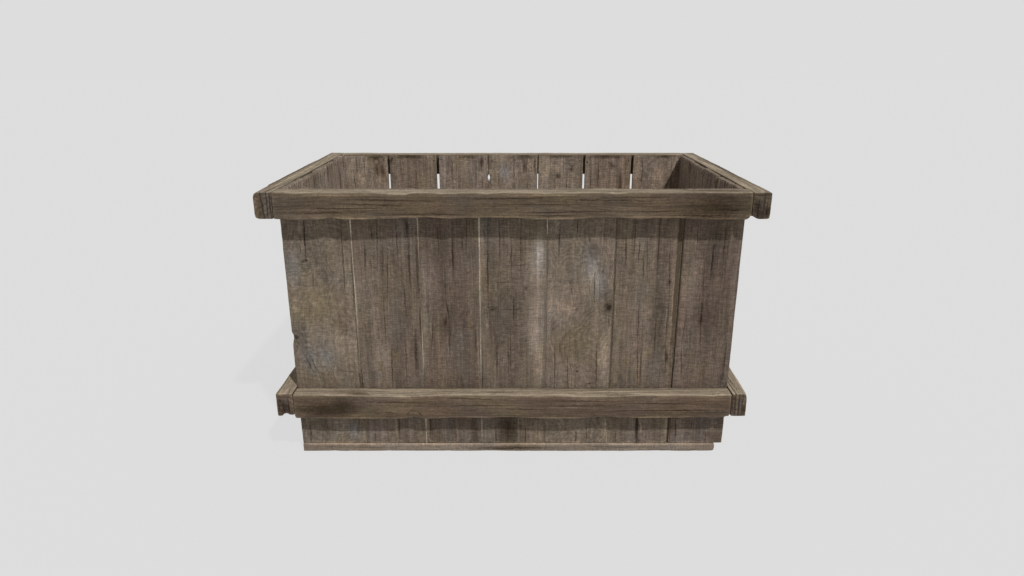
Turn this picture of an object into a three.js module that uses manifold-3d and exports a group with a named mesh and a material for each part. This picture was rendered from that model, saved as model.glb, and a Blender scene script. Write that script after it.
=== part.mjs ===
// An old open-topped wooden crate made of rough-sawn boards.
// Upright boards form the four walls, and the front and back walls cover the edges of the
// side walls. Two rings of battens hold them, one at the rim and one low down, and the
// side battens cover the ends of the front and back ones.
// The floor boards lie across under the walls.
//
// Millimetres, +Z up. The origin is the middle of the underside and the front faces -Y.

import * as THREE from "three";
import { mergeVertices } from "three/addons/utils/BufferGeometryUtils.js";
import Module from "manifold-3d";

// Walls
const wallWidth = 700; // across the outer faces of the side walls
const wallDepth = 410; // from the front wall's outer face to the back wall's
const wallHeight = 427;
const boardThickness = 9;
const boardArris = 1.3; // worn round along the grain
const boardEndArris = 0.8; // worn round at the sawn ends
const openSeam = 4.2; // a seam that daylight shows through
const cornerSeam = 0.5; // between a side wall's end board and the face wall that covers it
const shortBoard = 3; // how much lower the shortest board ends than the rim

// Battens
const battenThickness = 27;
const battenHeight = 40; // of the side battens
const rimFaceBattenHeight = 41; // of the front and back ones at the rim
const lowFaceBattenHeight = 43; // and of the low ones, which are a little wider
const battenArris = 2.4;
const battenInnerArris = 1.2;
const battenEndArris = 1;
const wornCorner = 7; // the rounded outer lower arris of the side battens
const battenJoint = 0.4; // between a face batten's end and the side batten over it
const lowFaceBattenRise = 59.5; // from the walls' lower ends to the low face battens
const lowSideBattenRise = 64.5; // from the walls' lower ends to the low side battens
const brokenCornerLength = 6; // the corner lost from the rim batten at the front
const brokenCornerHeight = 9;

// Floor
const floorThickness = 14;
const floorSeam = 3;
const floorArris = 2;
const floorProud = 2; // how far the floor stands out from the front and back walls
const shortFloorEnd = 12; // the front floor board stops this far short on the right

// Nails
const battenNailLength = 65;
const battenNailWidth = 3.4;
const battenNailHead = 7.5;
const battenNailSpacing = 18; // between the two nails of one joint
const floorNailLength = 42;
const floorNailWidth = 2;
const floorNailHead = 4.6;
const nailHeadThickness = 1.2;
const nailSunk = 0.3; // how deep a driven head lies under the wood's surface
const nailClearance = 0.3; // round a nail in its hole

const cutOverrun = 2; // how far a cutting shape runs out of the wood
const weldDistance = 0.001; // corners closer together than this are one corner

// Board widths as shares of each wall, from left to right or from front to back, each
// seam's share of the open seam, and each board's share of the short board's drop.
const boardShares = {
  front: {
    widths: [0.1506, 0.1451, 0.1323, 0.1477, 0.149, 0.1447, 0.1306],
    seams: [0.3, 0.3, 0.25, 0.25, 0.35, 0.5],
    drops: [0.1, 0, 0.2, 0.1, 0, 0.2, 0.1],
  },
  back: {
    widths: [0.1396, 0.1431, 0.1487, 0.1436, 0.1344, 0.1403, 0.1503],
    seams: [0.85, 1, 0.2, 0.35, 0.9, 0.95],
    drops: [0.7, 0.2, 0.4, 0.1, 0.5, 0, 0.3],
  },
  left: {
    widths: [0.2657, 0.1914, 0.1736, 0.1935, 0.1758],
    seams: [0.4, 0.6, 0.3, 0.4],
    drops: [0.1, 1, 0.2, 0.4, 0],
  },
  right: {
    widths: [0.1297, 0.1967, 0.2112, 0.2321, 0.2303],
    seams: [0.4, 0.6, 0.3, 0.4],
    drops: [0.3, 0.5, 0.1, 0.6, 0.2],
  },
};
const floorWidthShares = [0.252, 0.243, 0.256, 0.249];

// How light each piece has weathered, as shares of the wood's own colour.
const shadeShares = [1, 0.93, 1.04, 1.1, 0.98, 0.9, 0.95];

const nailSides = 10;

// Places worked out from the sizes above
const halfWidth = wallWidth / 2;
const halfDepth = wallDepth / 2;
const innerHalfDepth = halfDepth - boardThickness;
const sideWallMiddle = halfWidth - boardThickness / 2;
const faceWallMiddle = halfDepth - boardThickness / 2;
const faceBattenMiddle = halfDepth + battenThickness / 2;
const sideBattenMiddle = halfWidth + battenThickness / 2;
const rim = floorThickness + wallHeight;
const levels = [
  {
    level: "rim",
    faceHeight: rimFaceBattenHeight,
    faceMiddle: rim - rimFaceBattenHeight / 2,
    sideMiddle: rim - battenHeight / 2,
  },
  {
    level: "low",
    faceHeight: lowFaceBattenHeight,
    faceMiddle: floorThickness + lowFaceBattenRise + lowFaceBattenHeight / 2,
    sideMiddle: floorThickness + lowSideBattenRise + battenHeight / 2,
  },
];
const faces = [{ face: "front", way: -1 }, { face: "back", way: 1 }];
const sides = [{ side: "left", way: -1 }, { side: "right", way: 1 }];

const wasm = await Module();
wasm.setup();

const crate = new THREE.Group();

// A closed shape as a solid that can be cut.
function solidOf(geometry) {
  const bare = geometry.clone();
  bare.deleteAttribute("normal");
  bare.deleteAttribute("uv");
  const welded = mergeVertices(bare, weldDistance);
  return new wasm.Manifold(new wasm.Mesh({
    numProp: 3,
    vertProperties: new Float32Array(welded.attributes.position.array),
    triVerts: new Uint32Array(welded.index.array),
  }));
}

// The shape with every cutter taken out of it.
function cutBy(geometry, cutters) {
  const cut = cutters.reduce((solid, cutter) => solid.subtract(solidOf(cutter)), solidOf(geometry));
  const mesh = cut.getMesh();
  const result = new THREE.BufferGeometry();
  result.setAttribute("position", new THREE.BufferAttribute(mesh.vertProperties, 3));
  result.setIndex(new THREE.BufferAttribute(mesh.triVerts, 1));
  result.computeVertexNormals();
  return result;
}

// Three axes that an object's own x, y and z turn to.
function turnTo(x, y, z) {
  return new THREE.Matrix4().makeBasis(...[x, y, z].map((axis) => new THREE.Vector3(...axis)));
}

const alongX = turnTo([0, 1, 0], [0, 0, 1], [1, 0, 0]);
const alongY = turnTo([0, 0, 1], [1, 0, 0], [0, 1, 0]);

// A sawn length of wood along Z, centred, with its own worn radius at each long arris.
// The radii start at the low x, low y arris and go round anticlockwise.
function sawnLength(sizeX, sizeY, length, radii, endArris) {
  const x = sizeX / 2;
  const y = sizeY / 2;
  const outline = new THREE.Shape();
  [[-x, -y], [x, -y], [x, y], [-x, y]].forEach(([cornerX, cornerY], i) => {
    const start = Math.PI * (1 + i / 2);
    outline.absarc(cornerX - Math.sign(cornerX) * radii[i], cornerY - Math.sign(cornerY) * radii[i],
      radii[i], start, start + Math.PI / 2, false);
  });
  const wood = new THREE.ExtrudeGeometry(outline, {
    depth: length - 2 * endArris,
    curveSegments: 1,
    bevelThickness: endArris,
    bevelSize: endArris,
    bevelOffset: -endArris,
    bevelSegments: 1,
  });
  wood.translate(0, 0, endArris - length / 2);
  return wood;
}

// Where each board of a row starts and ends. The seams lie half on each side.
function boardSpans(span, widthShares, seams, endSeam) {
  const last = widthShares.length - 1;
  const total = widthShares.reduce((sum, share) => sum + share, 0);
  let edge = -span / 2;
  return widthShares.map((share, i) => {
    const low = edge + (i > 0 ? seams[i - 1] / 2 : endSeam);
    edge += share / total * span;
    const high = edge - (i < last ? seams[i] / 2 : endSeam);
    return { low, high, middle: (low + high) / 2, width: high - low };
  });
}

function wallSpans(wall, span, endSeam) {
  const seams = boardShares[wall].seams.map((share) => share * openSeam);
  return boardSpans(span, boardShares[wall].widths, seams, endSeam);
}

const boards = {
  front: wallSpans("front", wallWidth, 0),
  back: wallSpans("back", wallWidth, 0),
  left: wallSpans("left", 2 * innerHalfDepth, cornerSeam),
  right: wallSpans("right", 2 * innerHalfDepth, cornerSeam),
  floor: boardSpans(wallDepth + 2 * floorProud, floorWidthShares,
    floorWidthShares.map(() => floorSeam), 0),
};

// Nails
// A nail along Y with its head up and its point down. The middle of the head's top is
// at the origin. With a growth and a height above its head, it is the hole that it lies in.
function nailShape({ length, width, head }, growth, above) {
  const shank = width / 2 + growth;
  const flange = head / 2 + growth;
  const underHead = -nailHeadThickness - growth;
  const profile = [[0, -length - growth], [shank, width - length], [shank, underHead],
    [flange, underHead], [flange, above], [0, above]];
  return new THREE.LatheGeometry(profile.map(([r, h]) => new THREE.Vector2(r, h)), nailSides);
}

const battenNail = { length: battenNailLength, width: battenNailWidth, head: battenNailHead };
const floorNail = { length: floorNailLength, width: floorNailWidth, head: floorNailHead };
const headTurns = {
  left: turnTo([0, 1, 0], [-1, 0, 0], [0, 0, 1]),
  right: turnTo([0, -1, 0], [1, 0, 0], [0, 0, 1]),
  down: turnTo([1, 0, 0], [0, 0, -1], [0, 1, 0]),
};
const nails = [];

function planNail(name, nail, head, place, through) {
  const hole = nailShape(nail, nailClearance, nailSunk + cutOverrun).applyMatrix4(headTurns[head]);
  hole.translate(...place);
  nails.push({ name, nail, head, place, through, hole });
}

// Two nails go through each end of a side batten into the face batten's end.
for (const { level, faceMiddle, sideMiddle } of levels) {
  for (const { face, way: faceWay } of faces) {
    for (const { side, way: sideWay } of sides) {
      [1, -1].forEach((up, i) => planNail(
        `${level}_${face}_${side}_nail_${i + 1}`,
        battenNail,
        side,
        [
          sideWay * (halfWidth + battenThickness - nailSunk),
          faceWay * faceBattenMiddle,
          (faceMiddle + sideMiddle) / 2 + up * battenNailSpacing / 2,
        ],
        [`${level}_${side}_batten`, `${level}_${face}_batten`],
      ));
    }
  }
}

// The front and back floor boards are nailed up into the end boards of the front and
// back walls. The ones between them go into the side wall board that lies over most
// of their width.
const lastFloorBoard = boards.floor.length - 1;
boards.floor.forEach((floorBoard, i) => {
  for (const { side, way } of sides) {
    let wall = i === 0 ? "front" : "back";
    let board = way < 0 ? 0 : boards[wall].length - 1;
    let place = [boards[wall][board].middle, i === 0 ? -faceWallMiddle : faceWallMiddle, nailSunk];
    if (i > 0 && i < lastFloorBoard) {
      wall = side;
      const shared = boards[side].map(({ low, high }) => (
        Math.min(high, floorBoard.high) - Math.max(low, floorBoard.low)));
      board = shared.indexOf(Math.max(...shared));
      const { low, high } = boards[side][board];
      const row = (Math.min(high, floorBoard.high) + Math.max(low, floorBoard.low)) / 2;
      place = [way * sideWallMiddle, row, nailSunk];
    }
    planNail(`floor_${side}_nail_${i + 1}`, floorNail, "down", place,
      [`floor_board_${i + 1}`, `${wall}_wall_board_${board + 1}`]);
  }
});

// Puts a piece of wood in its place, with a hole wherever a nail goes through it.
function addWood(name, wood, x, y, z, colour, shadeShare, cutters = []) {
  const holes = nails.filter(({ through }) => through.includes(name))
    .map(({ hole }) => hole.clone().translate(-x, -y, -z));
  const cuts = [...holes, ...cutters];
  const weatheredWood = new THREE.MeshStandardMaterial({
    color: new THREE.Color(colour).multiplyScalar(shadeShare),
    roughness: 0.9,
    metalness: 0,
  });
  const piece = new THREE.Mesh(cuts.length > 0 ? cutBy(wood, cuts) : wood, weatheredWood);
  piece.name = name;
  piece.position.set(x, y, z);
  crate.add(piece);
}

// Wall boards
// They stand on the floor boards and reach the rim, some a little short of it.
function addWallBoards(wall, placeOf) {
  boards[wall].forEach(({ middle, width }, i) => {
    const height = wallHeight - boardShares[wall].drops[i] * shortBoard;
    const { x, y, sizeX, sizeY } = placeOf(middle, width);
    const arrises = [boardArris, boardArris, boardArris, boardArris];
    addWood(`${wall}_wall_board_${i + 1}`, sawnLength(sizeX, sizeY, height, arrises, boardEndArris),
      x, y, floorThickness + height / 2, "#7a6f62", shadeShares[i]);
  });
}

for (const { face, way } of faces) {
  addWallBoards(face, (middle, width) => ({
    x: middle, y: way * faceWallMiddle, sizeX: width, sizeY: boardThickness,
  }));
}

for (const { side, way } of sides) {
  addWallBoards(side, (middle, width) => ({
    x: way * sideWallMiddle, y: middle, sizeX: boardThickness, sizeY: width,
  }));
}

// Battens
// Each one is nearly sharp where it lies on the boards and worn round on its outer side.
const battenColour = "#776a56";

// The wedge lost from the lower right corner of the front rim batten.
function brokenCorner(endX, lowZ) {
  const wedge = new THREE.Shape();
  wedge.moveTo(endX - brokenCornerLength, lowZ);
  wedge.lineTo(endX - brokenCornerLength, lowZ - cutOverrun);
  wedge.lineTo(endX + cutOverrun, lowZ - cutOverrun);
  wedge.lineTo(endX + cutOverrun, lowZ + brokenCornerHeight);
  wedge.lineTo(endX, lowZ + brokenCornerHeight);
  const depth = battenThickness + 2 * cutOverrun;
  const cutter = new THREE.ExtrudeGeometry(wedge, { depth, bevelEnabled: false });
  cutter.rotateX(Math.PI / 2);
  cutter.translate(0, depth / 2, 0);
  return cutter;
}

for (const { level, faceHeight, faceMiddle, sideMiddle } of levels) {
  const faceLength = wallWidth - 2 * battenJoint;
  faces.forEach(({ face, way }, i) => {
    const outer = [battenArris, battenArris];
    const inner = [battenInnerArris, battenInnerArris];
    const radii = way < 0 ? [outer[0], ...inner, outer[1]] : [inner[0], ...outer, inner[1]];
    const batten = sawnLength(battenThickness, faceHeight, faceLength, radii, battenEndArris);
    const broken = level === "rim" && face === "front";
    addWood(`${level}_${face}_batten`, batten.applyMatrix4(alongX),
      0, way * faceBattenMiddle, faceMiddle, battenColour, shadeShares[i],
      broken ? [brokenCorner(faceLength / 2, -faceHeight / 2)] : []);
  });

  const sideLength = wallDepth + 2 * battenThickness;
  sides.forEach(({ side, way }, i) => {
    const radii = way < 0
      ? [wornCorner, battenArris, battenInnerArris, battenInnerArris]
      : [battenInnerArris, battenInnerArris, battenArris, wornCorner];
    const batten = sawnLength(battenHeight, battenThickness, sideLength, radii, battenEndArris);
    addWood(`${level}_${side}_batten`, batten.applyMatrix4(alongY),
      way * sideBattenMiddle, 0, sideMiddle, battenColour, shadeShares[i + 2]);
  });
}

// Floor boards
boards.floor.forEach(({ middle, width }, i) => {
  const right = halfWidth - (i === 0 ? shortFloorEnd : 0);
  const arrises = [floorArris, floorArris, floorArris, floorArris];
  const board = sawnLength(width, floorThickness, halfWidth + right, arrises, boardEndArris);
  addWood(`floor_board_${i + 1}`, board.applyMatrix4(alongX),
    (right - halfWidth) / 2, middle, floorThickness / 2, "#7b6e5e", shadeShares[i + 1]);
});

for (const { name, nail, head, place } of nails) {
  const rustySteel = new THREE.MeshStandardMaterial({
    color: "#3d3530",
    roughness: 0.7,
    metalness: 0.6,
  });
  const piece = new THREE.Mesh(nailShape(nail, 0, 0).applyMatrix4(headTurns[head]), rustySteel);
  piece.name = name;
  piece.position.set(...place);
  crate.add(piece);
}

export default crate;
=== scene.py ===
import math

import bmesh
import bpy
import numpy as np
from mathutils import Matrix, Vector


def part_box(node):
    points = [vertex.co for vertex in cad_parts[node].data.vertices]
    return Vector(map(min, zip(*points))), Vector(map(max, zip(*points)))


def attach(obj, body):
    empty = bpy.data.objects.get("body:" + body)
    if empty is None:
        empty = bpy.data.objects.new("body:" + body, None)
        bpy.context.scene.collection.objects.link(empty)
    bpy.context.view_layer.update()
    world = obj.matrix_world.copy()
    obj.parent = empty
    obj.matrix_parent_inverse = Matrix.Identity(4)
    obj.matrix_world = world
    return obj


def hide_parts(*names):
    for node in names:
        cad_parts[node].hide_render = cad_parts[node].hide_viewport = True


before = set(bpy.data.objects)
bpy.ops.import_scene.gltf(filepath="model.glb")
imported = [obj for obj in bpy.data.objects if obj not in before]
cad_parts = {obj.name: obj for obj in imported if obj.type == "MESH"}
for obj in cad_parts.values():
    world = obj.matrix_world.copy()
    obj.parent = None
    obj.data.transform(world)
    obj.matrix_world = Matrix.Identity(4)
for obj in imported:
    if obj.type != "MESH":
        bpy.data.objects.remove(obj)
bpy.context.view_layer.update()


# Camera
# It stands about a metre in front of the crate, a little above the rim, and looks down 18 degrees,
# where the photograph was taken from.
looks_down = 18.0
camera_data = bpy.data.cameras.new("photo_camera")
camera_data.sensor_fit = "HORIZONTAL"
camera_data.sensor_width = 36.0
camera_data.lens = 24.444
camera_data.clip_start = 0.05
camera_data.clip_end = 60.0
camera = bpy.data.objects.new("photo_camera", camera_data)
camera.location = (-0.0005, -1.2309, 0.620)
camera.rotation_euler = (math.radians(90.0 - looks_down), 0.0, 0.0)
bpy.context.scene.collection.objects.link(camera)
bpy.context.scene.camera = camera
bpy.context.scene.view_settings.view_transform = "Standard"


# Light
# One high lamp from the front right throws the short shadows under the battens, and an even pale
# surround fills them, as in a small photo studio.
key_direction = Vector((-0.345, 0.543, -0.766))
key_data = bpy.data.lights.new("key_lamp", "SUN")
key_data.energy = 2.78
key_data.angle = math.radians(2.2)
key = bpy.data.objects.new("key_lamp", key_data)
key.rotation_euler = key_direction.to_track_quat("-Z", "Y").to_euler()
bpy.context.scene.collection.objects.link(key)

backdrop_level = 0.723
fill_level = 0.43


def add(tree, kind, inputs=(), out=0, **settings):
    """Adds one shader node, sets or links its inputs and gives one of its outputs. kind may also
    name what a node of its kind does, as in "Math ADD"."""
    kind, _, operation = kind.partition(" ")
    made = tree.nodes.new("ShaderNode" + kind)
    if operation:
        made.operation = operation
    for setting, value in settings.items():
        setattr(made, setting, value)
    for socket, value in inputs.items() if isinstance(inputs, dict) else enumerate(inputs):
        if isinstance(value, bpy.types.NodeSocket):
            tree.links.new(value, made.inputs[socket])
        else:
            made.inputs[socket].default_value = value
    return made.outputs[out] if len(made.outputs) else None


world = bpy.data.worlds.new("studio")
world.use_nodes = True
world.node_tree.nodes.clear()
tree = world.node_tree
seen = add(tree, "LightPath", out="Is Camera Ray")
for ray in ("Is Glossy Ray", "Is Transmission Ray"):
    seen = add(tree, "Math MAXIMUM", (seen, add(tree, "LightPath", out=ray)))
fill = add(tree, "Background", {"Color": (1.0, 0.99, 0.975, 1.0), "Strength": fill_level})
backdrop = add(tree, "Background", {"Color": (1.0, 1.0, 1.0, 1.0), "Strength": backdrop_level})
add(tree, "OutputWorld", {"Surface": add(tree, "MixShader", (seen, fill, backdrop))})
bpy.context.scene.world = world


# Studio floor
# A plain pale sheet that the crate stands on. It is as pale as the backdrop where the lamp
# reaches it, and keeps a light shadow of the crate.
half_sheet = 25.0
sheet_grey = 0.685
glow_share = 0.93


def stand(name, bm):
    """Turns a built mesh into an object of that name, standing in the scene."""
    mesh = bpy.data.meshes.new(name)
    bm.to_mesh(mesh)
    bm.free()
    made = bpy.data.objects.new(name, mesh)
    bpy.context.scene.collection.objects.link(made)
    return made


def blank(name):
    """A new material of that name, and its empty node tree."""
    made = bpy.data.materials.new(name)
    made.use_nodes = True
    made.node_tree.nodes.clear()
    return made, made.node_tree


bm = bmesh.new()
bmesh.ops.create_grid(bm, x_segments=1, y_segments=1, size=half_sheet)
studio_floor = stand("studio_floor", bm)
floor_paint, tree = blank("studio_floor_paint")
sheet = add(tree, "BsdfDiffuse", {"Color": (sheet_grey, sheet_grey, sheet_grey, 1.0)})
glow = add(tree, "Emission", {"Color": (1.0, 1.0, 1.0, 1.0), "Strength": backdrop_level})
share = add(tree, "Math MULTIPLY", (add(tree, "LightPath", out="Is Camera Ray"), glow_share))
add(tree, "OutputMaterial", {"Surface": add(tree, "MixShader", (share, sheet, glow))})
studio_floor.data.materials.append(floor_paint)


# Wall boards
# Rough-sawn softwood boards, 9 mm thick, stand side by side round the four walls, nailed to the
# battens. Years outdoors have greyed them, opened the grain, worn the arrises and split some ends.

# How sawn wood is shaped, in metres. A reach says how far wear spreads from where it begins, and
# pitches how far apart its highs lie, on the long faces along the grain first. Nail heads dent the
# wood in a thin skin, and what lies less than a hair under a face counts as on it.
first_column = 0.0015
ledge_slope = 0.0006
rub_reach, rub_pitch = 0.0012, 0.03
end_reach, chip_pitches, chunk_pitches = 0.006, (0.006, 0.004), (0.02, 0.015)
bow_pitch, kink_pitch = 0.07, 0.019
groove_pitches, valley_pitches, hollow_pitches = (0.11, 0.0052), (0.2, 0.03), (0.16, 0.045)
full_relief_width = 0.03
arris_reach, dip_pitch, nick_pitch = 0.0035, 0.04, 0.009
worn_depth, worn_side_depth = 0.003, 0.004
ledge_start = 0.006
split_wander, split_wander_pitch = 0.0006, 0.02
split_pull, split_end, split_taper = 0.005, 0.004, 0.008
# As shares of a split's width: how deep it is, and how far its lips close where it ends.
split_deep, split_closes = 0.8, 0.42
dent_radius, dent_depth = 0.0055, 0.0006
skin = 0.003
hair = 1e-6


def srgb(colour):
    """Turns an sRGB hex colour to linear red, green, blue and alpha."""
    parts = [int(colour[i:i + 2], 16) / 255.0 for i in (1, 3, 5)]
    return [p / 12.92 if p <= 0.04045 else ((p + 0.055) / 1.055) ** 2.4 for p in parts] + [1.0]


def ease(share):
    """Rounds off both ends of a climb from 0 to 1."""
    return share * share * (3.0 - 2.0 * share)


def drift(chance, along, pitch):
    """A smooth random line from 0 to 1 that takes a new height every pitch."""
    heights = chance.random(int(np.ptp(along) / pitch) + 3)
    place = (along - along.min()) / pitch
    step = place.astype(int)
    near = ease(place - step)
    return heights[step] * (1.0 - near) + heights[step + 1] * near


def ripple(chance, along, across, pitch_along, pitch_across):
    """A smooth random surface from 0 to 1, with a new height every pitch both ways."""
    size = (int(np.ptp(along) / pitch_along) + 3, int(np.ptp(across) / pitch_across) + 3)
    heights = chance.random(size)
    u = (along - along.min()) / pitch_along
    v = (across - across.min()) / pitch_across
    i, j = u.astype(int), v.astype(int)
    u, v = ease(u - i), ease(v - j)
    near = heights[i, j] * (1.0 - v) + heights[i, j + 1] * v
    far = heights[i + 1, j] * (1.0 - v) + heights[i + 1, j + 1] * v
    return near * (1.0 - u) + far * u


def spans(face):
    """The two axes that a face spans. A face is (axis, 0 for its low side or 1 for its high side)."""
    return [axis for axis in range(3) if axis != face[0]]


def nails_in(node):
    """Where nail heads lie in a piece's faces: (face, middle of the head), in metres."""
    low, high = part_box(node)
    found = []
    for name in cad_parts:
        if "_nail_" not in name:
            continue
        start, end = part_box(name)
        middle = (start + end) / 2.0
        way = max(range(3), key=lambda axis: end[axis] - start[axis])
        if any(not low[axis] < middle[axis] < high[axis] for axis in spans((way, 0))):
            continue
        for side, head, surface in ((0, start[way], low[way]), (1, end[way], high[way])):
            if abs(head - surface) < 0.001:
                spot = middle.copy()
                spot[way] = surface
                found.append(((way, side), spot))
    return found


def sawn_piece(name, node, along, seed, inner=None, arris=0.0003, rows=0.0034, wander=0.0002,
               relief=0.0003, wear=0.0004, end_wear=0.0004, rub=0.2, marks={}, worn_back=(), ledges=(),
               rounded=()):
    """Makes one weathered piece of sawn wood that stands for a CAD node and stays inside its box.
    Tables are in millimetres. A split is (u, v, u, v, width) on a face, in the two axes it spans.
    worn_back is (face, face beside it, how far in it reaches, [(place along, how much is gone)]),
    a ledge (face, face beside it, width, depth, (from, to) along), a rounded arris (face, face,
    [(place along, radius)]). inner is the face that the crate shelters, rub how pale arrises are."""
    low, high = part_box(node)
    bm = bmesh.new()
    bmesh.ops.create_cube(bm, size=1.0)
    bmesh.ops.scale(bm, vec=high - low, verts=bm.verts[:])
    bmesh.ops.translate(bm, vec=(low + high) / 2.0, verts=bm.verts[:])
    bmesh.ops.bevel(bm, geom=bm.edges[:], offset=arris, offset_type="OFFSET", affect="EDGES",
                    segments=2, profile=0.5, material=-1)
    cuts = {}
    for axis in range(3):
        span = high[axis] - low[axis]
        cuts[axis] = round(span / min(rows, span / 3.0)) - 1
        whole = [e for e in bm.edges if abs(e.verts[0].co[axis] - e.verts[1].co[axis]) > 0.5 * span]
        bmesh.ops.subdivide_edges(bm, edges=whole, cuts=cuts[axis], use_grid_fill=True)
    bmesh.ops.recalc_face_normals(bm, faces=bm.faces[:])
    piece = stand(name, bm)
    mesh = piece.data

    spots = np.empty(len(mesh.vertices) * 3)
    mesh.vertices.foreach_get("co", spots)
    start = np.array(low)
    size = np.array(high) - start
    spots = spots.reshape(-1, 3) - start
    chance = np.random.default_rng(seed)

    def off(face):
        """How far each corner lies under a face."""
        return spots[:, face[0]] if face[1] == 0 else size[face[0]] - spots[:, face[0]]

    def amount(line, run):
        """What a table of (place, amount) gives at each corner, in metres."""
        places, amounts = np.array(line).T / 1000.0
        return np.interp(spots[:, run] + start[run], places, amounts)

    splits = []
    for face, kinds in marks.items():
        for split in kinds.get("split", ()):
            order = (0, 1, 2, 3) if spans(face)[0] == along else (1, 0, 3, 2)
            splits.append((face, [split[k] / 1000.0 for k in order], split[4] / 1000.0))
    for axis in range(3):
        even = np.linspace(arris, size[axis] - arris, cuts[axis] + 2)
        if axis == along or len(even) < 8:
            continue
        columns = even.copy()
        columns[1] = arris + first_column
        columns[-2] = size[axis] - columns[1]
        places = [((line[1] + line[3]) / 2.0 - start[axis], width / 2.0)
                  for face, line, width in splits if 3 - along - face[0] == axis]
        places += [(abs(size[axis] * beside[1] - width / 1000.0), ledge_slope)
                   for face, beside, width, depth, reach in ledges if beside[0] == axis]
        for middle, half in places:
            i = int(np.clip(np.abs(even - middle).argmin(), 2, len(even) - 3))
            columns[i - 1:i + 2] = middle - half, middle, middle + half
        before, after = [0.0, *even, size[axis]], [0.0, *columns, size[axis]]
        spots[:, axis] = np.interp(spots[:, axis], before, after)

    a = spots[:, along]
    faces = [(axis, side) for axis in range(3) for side in (0, 1)]
    inward = {face: 1.0 - 2.0 * face[1] for face in faces}
    near = np.sort(np.minimum(spots, size - spots), axis=1)
    on_end = np.minimum(a, size[along] - a) < hair
    rubbed = rub * (0.35 + 0.65 * drift(chance, a, rub_pitch)) * np.exp(-near[:, 1] / rub_reach)
    masks = {
        "rubbed": np.where(on_end, 0.3 * rubbed, rubbed),
        "upper_face": (off((2, 1)) < hair) | (off((2, 1)) < 0.6 * arris),
        "end_grain": on_end,
        "sheltered": off(inner) < hair if inner else on_end & False,
    }
    move = np.zeros_like(spots)
    for face in faces:
        axis = face[0]
        share = 1.0 - off(face) / size[axis]
        u, v = [spots[:, k] for k in spans(face)]
        if axis == along:
            broken = ripple(chance, u, v, *chip_pitches) ** 2 + 0.6 * ripple(chance, u, v, *chunk_pitches)
            move[:, axis] += inward[face] * end_wear * broken * np.exp(-off(face) / end_reach)
            continue
        b = spots[:, 3 - along - axis]
        wave = drift(chance, a, bow_pitch) + 0.4 * drift(chance, a, kink_pitch)
        depth = relief * min(1.0, np.ptp(b) / full_relief_width)
        grooves = ripple(chance, a, b, *groove_pitches) * ripple(chance, a, b, *valley_pitches)
        hollow = 0.8 * ripple(chance, a, b, *hollow_pitches)
        move[:, axis] += inward[face] * share * (wander * wave + depth * (grooves + hollow))
    for first in faces:
        for second in faces:
            if first[0] >= second[0]:
                continue
            run = spots[:, 3 - first[0] - second[0]]
            worn = drift(chance, run, dip_pitch) ** 2 + 0.5 * drift(chance, run, nick_pitch) ** 3
            worn *= end_wear if along in (first[0], second[0]) else wear
            worn *= np.exp(-(off(first) + off(second)) / arris_reach)
            move[:, first[0]] += inward[first] * worn
            move[:, second[0]] += inward[second] * worn
    for face, beside, reach, line in worn_back:
        gone = amount(line, 3 - face[0] - beside[0])
        round_off = 1.8 * gone + worn_depth
        deep = np.exp(-(off(face) / round_off) ** 2)
        move[:, face[0]] += inward[face] * gone * deep * np.exp(-off(beside) / (reach / 1000.0))
        deep = np.exp(-off(face) / worn_side_depth) * np.exp(-(off(beside) / round_off) ** 2)
        move[:, beside[0]] += inward[beside] * 0.4 * gone * deep
    for face, beside, width, depth, reach in ledges:
        inside = (off(beside) < width / 1000.0 - 0.5 * ledge_slope) & (off(face) < 0.6 * size[face[0]])
        z = a + start[along]
        inside = inside * np.clip((z - reach[0] / 1000.0) / ledge_start, 0.0, 1.0) * (z < reach[1] / 1000.0)
        move[:, face[0]] += inward[face] * depth / 1000.0 * inside
    for face, line, width in splits:
        across = 3 - along - face[0]
        middle = (line[1] + line[3]) / 2.0 - start[across]
        (bottom, left), (top, right) = sorted([(line[0], line[1]), (line[2], line[3])])
        bottom, top = bottom - start[along], top - start[along]
        shift = np.interp(a, [bottom, top], [left, right]) - start[across] - middle
        shift = shift + split_wander * (drift(chance, a, split_wander_pitch) - 0.5)
        reach = split_pull + abs(right - left)
        from_bottom = a - bottom if bottom > split_end else a + 1.0
        from_top = top - a if top < size[along] - split_end else a + 1.0
        fade = np.clip(np.minimum(from_bottom, from_top) / split_taper, 0.0, 1.0)
        b = spots[:, across]
        lips = (off(face) < hair) & (np.abs(np.abs(b - middle) - width / 2.0) < 10.0 * hair)
        floor = (off(face) < hair) & (np.abs(b - middle) < 10.0 * hair)
        move[:, across] += shift * np.exp(-((b - middle) / reach) ** 2)
        move[:, across] += np.where(lips, np.sign(middle - b) * width * split_closes * (1.0 - fade), 0.0)
        move[:, face[0]] += np.where(floor, inward[face] * split_deep * width * fade, 0.0)
    for face, head in nails_in(node):
        u, v = spans(face)
        away = np.hypot(spots[:, u] + start[u] - head[u], spots[:, v] + start[v] - head[v])
        dent = np.clip(2.0 - away / dent_radius, 0.0, 1.0) * (off(face) < skin)
        move[:, face[0]] += inward[face] * dent_depth * dent
    spots = np.clip(spots + move, 0.0, size)
    for one, two, line in rounded:
        radius = amount(line, 3 - one[0] - two[0])
        u = np.clip(radius - off(one), 0.0, None)
        v = np.clip(radius - off(two), 0.0, None)
        turn = np.where((u > 0.0) & (v > 0.0), np.maximum(u, v) / np.maximum(np.hypot(u, v), hair), 1.0)
        for face, gap in ((one, u), (two, v)):
            spots[:, face[0]] += inward[face] * gap * (1.0 - turn)
    mesh.vertices.foreach_set("co", (spots + start).ravel())
    for attribute, values in masks.items():
        layer = mesh.attributes.new(attribute, "FLOAT", "POINT")
        layer.data.foreach_set("value", np.asarray(values, np.float32))
    mesh.shade_smooth()
    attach(piece, "root")
    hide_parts(node)
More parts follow.
